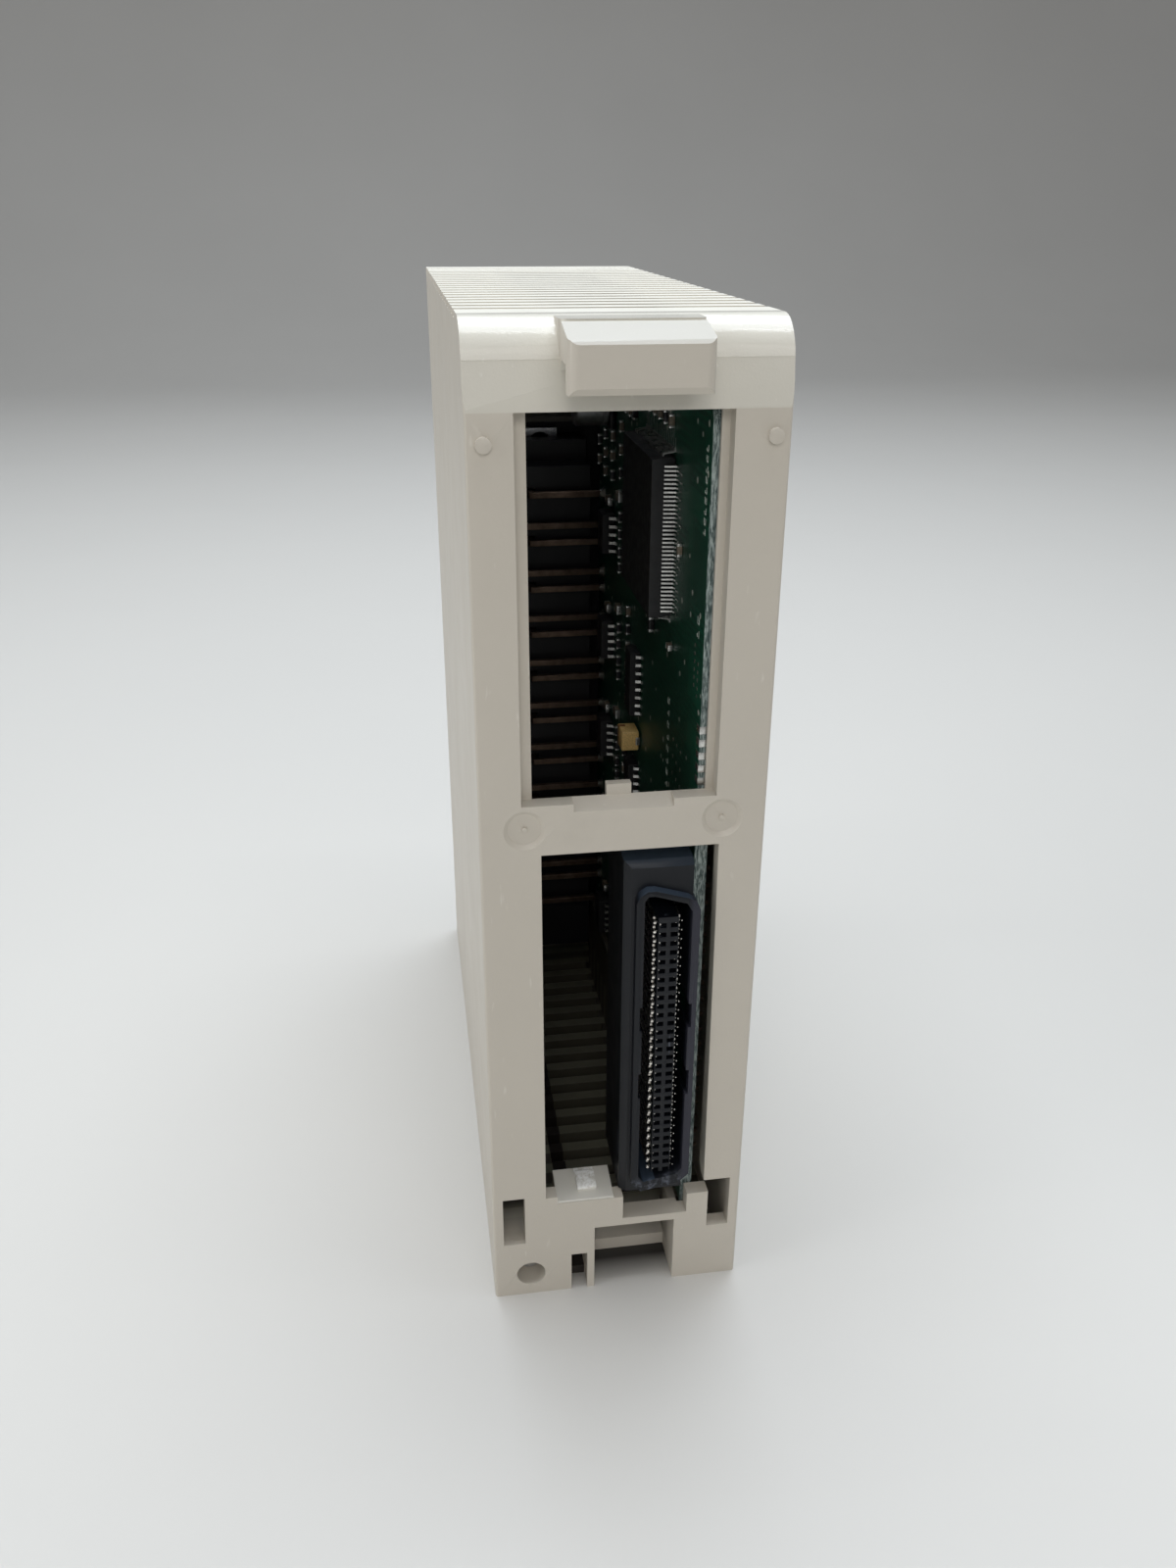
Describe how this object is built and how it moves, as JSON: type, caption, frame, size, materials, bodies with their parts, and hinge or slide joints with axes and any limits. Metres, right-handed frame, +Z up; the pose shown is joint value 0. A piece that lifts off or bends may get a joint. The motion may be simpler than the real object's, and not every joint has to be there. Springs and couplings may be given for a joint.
{
  "type": "plc module",
  "caption": "Tall narrow controller input/output module: rear bus connector and backplane hook, removable screw terminal block, hinged cover, indicator window.",
  "frame": {"origin": "middle of the module's bounding box, at its base", "axes": "+Z up along the module's height, -Y out of the rear face that meets the backplane, +Y out of the terminal front, +X to the right seen from behind"},
  "size_m": [0.0344, 0.1054, 0.13],
  "materials": {
    "case_plastic": "satin, fine moulded texture, warm beige grey",
    "smoked_window": "gloss, smoked",
    "black_plastic": "satin moulded",
    "board_laminate": "gloss solder mask, green",
    "lamp_resin": "clear tinted resin",
    "chip_resin": "matt moulding compound",
    "tantalum_resin": "matt tan resin",
    "aluminium_can": "satin drawn can",
    "navy_plastic": "satin, scuffed, blue black",
    "gold_contact": "bright gold flash",
    "tinned_metal": "bright tin plate",
    "pin_metal": "dull tinned brass",
    "plated_steel": "zinc plated",
    "nylon": "natural nylon",
    "card": "blank card"
  },
  "bodies": {
    "module": {"case": "case_plastic", "front_bezel": "case_plastic", "indicator_window": "smoked_window", "light_shield": "black_plastic", "indicator_board": "board_laminate", "indicator_lamps": "lamp_resin", "indicator_link": "black_plastic", "main_board": "board_laminate", "main_chip": "chip_resin", "logic_chip_1": "chip_resin", "logic_chip_2": "chip_resin", "logic_chip_3": "chip_resin", "logic_chip_4": "chip_resin", "coupler_chip_1": "chip_resin", "coupler_chip_2": "chip_resin", "coupler_chip_3": "chip_resin", "coupler_chip_4": "chip_resin", "coupler_chip_5": "chip_resin", "tantalum_capacitor_1": "tantalum_resin", "tantalum_capacitor_2": "tantalum_resin", "can_capacitor": "aluminium_can", "bus_connector_housing": "navy_plastic", "bus_contacts_left": "gold_contact", "bus_contacts_right": "gold_contact", "bus_connector_legs": "tinned_metal", "terminal_header": "black_plastic", "block_nut_lower": "plated_steel", "block_nut_upper": "plated_steel", "terminal_pins_left": "pin_metal", "terminal_pins_middle": "pin_metal"},
    "block": {"terminal_block": "black_plastic", "terminal_plates_left": "tinned_metal", "terminal_plates_right": "tinned_metal", "terminal_screw_01": "plated_steel", "terminal_screw_02": "plated_steel", "terminal_screw_03": "plated_steel", "terminal_screw_04": "plated_steel", "terminal_screw_05": "plated_steel", "terminal_screw_06": "plated_steel", "terminal_screw_07": "plated_steel", "terminal_screw_08": "plated_steel", "terminal_screw_09": "plated_steel", "terminal_screw_10": "plated_steel", "terminal_screw_11": "plated_steel", "terminal_screw_12": "plated_steel", "terminal_screw_13": "plated_steel", "terminal_screw_14": "plated_steel", "terminal_screw_15": "plated_steel", "terminal_screw_16": "plated_steel", "terminal_screw_17": "plated_steel", "terminal_screw_18": "plated_steel", "terminal_screw_19": "plated_steel", "terminal_screw_20": "plated_steel"},
    "cover": {"terminal_cover": "case_plastic", "cover_label": "card"},
    "upper_screw": {"block_screw_upper": "plated_steel"},
    "lower_screw": {"block_screw_lower": "plated_steel"},
    "screw_carrier": {"mounting_screw_washer": "nylon"},
    "screw": {"mounting_screw": "plated_steel"}
  },
  "joints": [
    {"name": "block_pull_off", "type": "slide", "parent": "module", "child": "block", "axis": [0, 1, 0], "range_m": [0, 0.012]},
    {"name": "cover_hinge", "type": "hinge", "parent": "block", "child": "cover", "pos_m": [-0.01355, 0.05105, 0.0575], "axis": [0, 0, 1], "range_deg": [0, 110]},
    {"name": "upper_screw_turn", "type": "hinge", "parent": "block", "child": "upper_screw", "pos_m": [0, 0.04275, 0.1031], "axis": [0, 1, 0], "continuous": true},
    {"name": "lower_screw_turn", "type": "hinge", "parent": "block", "child": "lower_screw", "pos_m": [0, 0.04275, 0.0119], "axis": [0, 1, 0], "continuous": true},
    {"name": "mounting_screw_travel", "type": "slide", "parent": "module", "child": "screw_carrier", "axis": [0, -1, 0], "range_m": [0, 0.0112]},
    {"name": "mounting_screw_turn", "type": "hinge", "parent": "screw_carrier", "child": "screw", "pos_m": [-0.01215, -0.03085, 0.0037], "axis": [0, -1, 0], "continuous": true}
  ]
}
